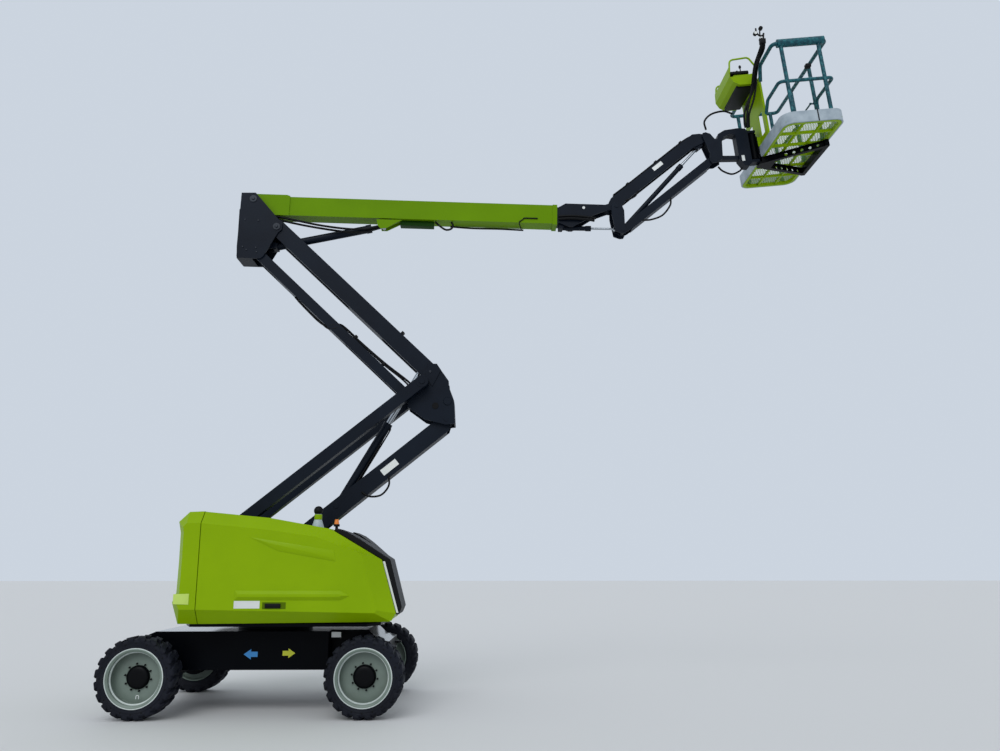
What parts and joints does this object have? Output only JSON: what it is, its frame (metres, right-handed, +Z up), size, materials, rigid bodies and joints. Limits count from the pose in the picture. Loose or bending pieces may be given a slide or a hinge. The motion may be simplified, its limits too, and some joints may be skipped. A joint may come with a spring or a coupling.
{
  "type": "articulating boom lift",
  "caption": "Four-wheeled articulating boom lift with a slewing turret, folding riser, telescopic boom, jib and railed work platform.",
  "frame": {"origin": "middle of the machine's bounding box at floor level, wheels standing on z = 0", "axes": "+X along the machine towards the platform, +Y across it to the far side, +Z up"},
  "size_m": [8.5815, 2.3, 8.2488],
  "materials": {
    "green_paint": "gloss lime green paint",
    "green_hood": "gloss lime green moulding",
    "dark_paint": "satin charcoal blue-grey paint",
    "black_paint": "satin black paint",
    "black_plastic": "matt black moulding",
    "tyre": "black rubber",
    "rim_grey": "light grey paint",
    "rod": "polished hard chrome",
    "cast_block": "bare cast iron",
    "engine": "dark grey",
    "amber": "amber lens",
    "pale_plastic": "off-white moulding",
    "rail_paint": "dark teal wrapped tube",
    "floor_green": "lime green paint"
  },
  "bodies": {
    "chassis": {"chassis_frame": "black_paint", "chassis_nose": "black_paint", "axles": "black_paint"},
    "steer_near": {"steer_knuckle_near": "black_paint"},
    "steer_far": {"steer_knuckle_far": "black_paint"},
    "turret": {"turret_frame": "dark_paint", "tail_cover": "green_hood", "counterweight": "cast_block", "engine_block": "engine"},
    "near_hood": {"hood_near": "green_hood", "front_guard_near": "black_plastic", "beacon": "amber", "signal_post": "pale_plastic"},
    "far_hood": {"hood_far": "green_hood", "front_guard_far": "black_plastic"},
    "platform": {"rotator": "black_paint", "platform_floor": "floor_green", "toe_board": "pale_plastic", "top_rail": "rail_paint", "mid_rail_near": "rail_paint", "mid_rail_far": "rail_paint", "mount_panel": "floor_green", "console": "floor_green"},
    "wheel_back_near": {"tyre_back_near": "tyre", "rim_back_near": "rim_grey"},
    "wheel_back_far": {"tyre_back_far": "tyre", "rim_back_far": "rim_grey"},
    "wheel_front_near": {"tyre_front_near": "tyre", "rim_front_near": "rim_grey"},
    "wheel_front_far": {"tyre_front_far": "tyre", "rim_front_far": "rim_grey"},
    "lower_arm": {"lower_arm": "dark_paint"},
    "lower_link": {"lower_link": "dark_paint"},
    "riser_barrel": {"riser_barrel": "black_paint"},
    "riser_rod": {"riser_rod": "rod"},
    "knuckle": {"knuckle": "dark_paint"},
    "upper_arm": {"upper_arm": "dark_paint"},
    "upper_link": {"upper_link": "dark_paint"},
    "upright": {"upright": "dark_paint"},
    "boom": {"boom": "green_paint"},
    "boom_barrel": {"boom_barrel": "black_paint"},
    "boom_rod": {"boom_rod": "rod"},
    "extension": {"extension": "dark_paint"},
    "level_barrel": {"level_barrel": "black_paint"},
    "level_rod": {"level_rod": "rod"},
    "jib_bracket": {"jib_bracket": "dark_paint"},
    "jib_arm": {"jib_arm": "dark_paint"},
    "jib_link": {"jib_link": "dark_paint"},
    "jib_barrel": {"jib_barrel": "black_paint"},
    "jib_rod": {"jib_rod": "rod"},
    "jib_head": {"jib_head": "dark_paint"},
    "entry_bar": {"entry_bar": "rail_paint"}
  },
  "joints": [
    {"name": "slew", "type": "hinge", "parent": "chassis", "child": "turret", "pos_m": [-2.68, 0, 0.935], "axis": [0, 0, 1], "range_deg": [-177.5, 177.5]},
    {"name": "steer_near_turn", "type": "hinge", "parent": "chassis", "child": "steer_near", "pos_m": [-1.485, -0.815, 0.424], "axis": [0, 0, 1], "range_deg": [-35, 35]},
    {"name": "steer_far_turn", "type": "hinge", "parent": "chassis", "child": "steer_far", "pos_m": [-1.485, 0.815, 0.424], "axis": [0, 0, 1], "range_deg": [-35, 35]},
    {"name": "roll_back_near", "type": "hinge", "parent": "chassis", "child": "wheel_back_near", "pos_m": [-3.875, -0.995, 0.424], "axis": [0, 1, 0], "continuous": true},
    {"name": "roll_back_far", "type": "hinge", "parent": "chassis", "child": "wheel_back_far", "pos_m": [-3.875, 0.995, 0.424], "axis": [0, 1, 0], "continuous": true},
    {"name": "roll_front_near", "type": "hinge", "parent": "steer_near", "child": "wheel_front_near", "pos_m": [-1.485, -0.995, 0.424], "axis": [0, 1, 0], "continuous": true},
    {"name": "roll_front_far", "type": "hinge", "parent": "steer_far", "child": "wheel_front_far", "pos_m": [-1.485, 0.995, 0.424], "axis": [0, 1, 0], "continuous": true},
    {"name": "near_hood_lift", "type": "hinge", "parent": "turret", "child": "near_hood", "pos_m": [-2.69, -0.388, 2.077], "axis": [-0.9922, 0, 0.1245], "range_deg": [0, 55]},
    {"name": "far_hood_lift", "type": "hinge", "parent": "turret", "child": "far_hood", "pos_m": [-2.69, 0.388, 2.077], "axis": [0.9922, 0, -0.1245], "range_deg": [0, 55]},
    {"name": "riser_lift", "type": "hinge", "parent": "turret", "child": "lower_arm", "pos_m": [-3.278, 0, 1.929], "axis": [0, -1, 0], "range_deg": [-39, 31]},
    {"name": "lower_link_turn", "type": "hinge", "parent": "turret", "child": "lower_link", "pos_m": [-2.982, 0, 1.484], "axis": [0, -1, 0], "range_deg": [-39, 31]},
    {"name": "knuckle_level", "type": "hinge", "parent": "lower_arm", "child": "knuckle", "pos_m": [-0.98542, 0, 3.7855], "axis": [0, -1, 0], "range_deg": [-31, 39]},
    {"name": "upper_arm_turn", "type": "hinge", "parent": "knuckle", "child": "upper_arm", "pos_m": [-0.89342, 0, 3.9335], "axis": [0, -1, 0], "range_deg": [-31, 39]},
    {"name": "upper_link_turn", "type": "hinge", "parent": "knuckle", "child": "upper_link", "pos_m": [-1.09542, 0, 3.5555], "axis": [0, -1, 0], "range_deg": [-31, 39]},
    {"name": "upright_level", "type": "hinge", "parent": "upper_arm", "child": "upright", "pos_m": [-2.90198, 0, 5.83955], "axis": [0, -1, 0], "range_deg": [-39, 31]},
    {"name": "riser_barrel_turn", "type": "hinge", "parent": "lower_link", "child": "riser_barrel", "pos_m": [-2.00746, 0, 2.27317], "axis": [0, -1, 0], "range_deg": [-6.6, 8.2]},
    {"name": "riser_rod_slide", "type": "slide", "parent": "riser_barrel", "child": "riser_rod", "axis": [0.4981, 0, 0.8671], "range_m": [-0.496, 0.395]},
    {"name": "boom_lift", "type": "hinge", "parent": "upright", "child": "boom", "pos_m": [-3.22098, 0, 6.21955], "axis": [0, -1, 0], "range_deg": [-1, 72]},
    {"name": "boom_barrel_turn", "type": "hinge", "parent": "upright", "child": "boom_barrel", "pos_m": [-2.94498, 0, 5.62055], "axis": [0, -1, 0], "range_deg": [-1, 64.2]},
    {"name": "boom_rod_slide", "type": "slide", "parent": "boom_barrel", "child": "boom_rod", "axis": [0.9775, 0, 0.211], "range_m": [-0.012, 0.787]},
    {"name": "extension_slide", "type": "slide", "parent": "boom", "child": "extension", "axis": [0.9997, 0, -0.0244], "range_m": [0, 2.05]},
    {"name": "bracket_level", "type": "hinge", "parent": "extension", "child": "jib_bracket", "pos_m": [1.50973, 0, 6.19096], "axis": [0, -1, 0], "range_deg": [-72, 1]},
    {"name": "level_barrel_turn", "type": "hinge", "parent": "extension", "child": "level_barrel", "pos_m": [0.77282, 0, 5.91688], "axis": [0, -1, 0], "range_deg": [-0.4, 20.1]},
    {"name": "level_rod_slide", "type": "slide", "parent": "level_barrel", "child": "level_rod", "axis": [1, 0, -0.0081], "range_m": [-0.263, 0.005]},
    {"name": "jib_lift", "type": "hinge", "parent": "jib_bracket", "child": "jib_arm", "pos_m": [1.50973, 0, 6.19096], "axis": [0, -1, 0], "range_deg": [-58, 28]},
    {"name": "jib_link_turn", "type": "hinge", "parent": "jib_bracket", "child": "jib_link", "pos_m": [1.58973, 0, 5.86096], "axis": [0, -1, 0], "range_deg": [-58, 28]},
    {"name": "jib_head_level", "type": "hinge", "parent": "jib_arm", "child": "jib_head", "pos_m": [2.74462, 0, 7.21618], "axis": [0, -1, 0], "range_deg": [-28, 58]},
    {"name": "jib_barrel_turn", "type": "hinge", "parent": "jib_bracket", "child": "jib_barrel", "pos_m": [1.62473, 0, 5.93096], "axis": [0, -1, 0], "range_deg": [-56.3, 27.3]},
    {"name": "jib_rod_slide", "type": "slide", "parent": "jib_barrel", "child": "jib_rod", "axis": [0.664, 0, 0.7477], "range_m": [-0.266, 0.129]},
    {"name": "platform_rotate", "type": "hinge", "parent": "jib_head", "child": "platform", "pos_m": [3.42744, 0, 6.92272], "axis": [-0.1028, 0, 0.9947], "range_deg": [-70, 70]},
    {"name": "entry_bar_lift", "type": "hinge", "parent": "platform", "child": "entry_bar", "pos_m": [4.16849, -0.28, 7.60249], "axis": [0.9947, 0, 0.1028], "range_deg": [0, 75]}
  ],
  "couplings": [
    {"joint": "steer_far_turn", "follows": "steer_near_turn", "ratio": 1},
    {"joint": "lower_link_turn", "follows": "riser_lift", "ratio": 1},
    {"joint": "knuckle_level", "follows": "riser_lift", "ratio": -1},
    {"joint": "upper_arm_turn", "follows": "riser_lift", "ratio": -1},
    {"joint": "upper_link_turn", "follows": "riser_lift", "ratio": -1},
    {"joint": "upright_level", "follows": "riser_lift", "ratio": 1},
    {"joint": "riser_barrel_turn", "follows": "riser_lift", "ratio": -0.2065},
    {"joint": "riser_rod_slide", "follows": "riser_lift", "m_per_rad": 0.7271},
    {"joint": "boom_barrel_turn", "follows": "boom_lift", "ratio": 0.8901},
    {"joint": "boom_rod_slide", "follows": "boom_lift", "m_per_rad": 0.6254},
    {"joint": "bracket_level", "follows": "boom_lift", "ratio": -1},
    {"joint": "level_barrel_turn", "follows": "boom_lift", "ratio": 0.2773},
    {"joint": "level_rod_slide", "follows": "boom_lift", "m_per_rad": -0.2079},
    {"joint": "jib_link_turn", "follows": "jib_lift", "ratio": 1},
    {"joint": "jib_head_level", "follows": "jib_lift", "ratio": -1},
    {"joint": "jib_barrel_turn", "follows": "jib_lift", "ratio": 0.9685},
    {"joint": "jib_rod_slide", "follows": "jib_lift", "m_per_rad": 0.2615}
  ]
}
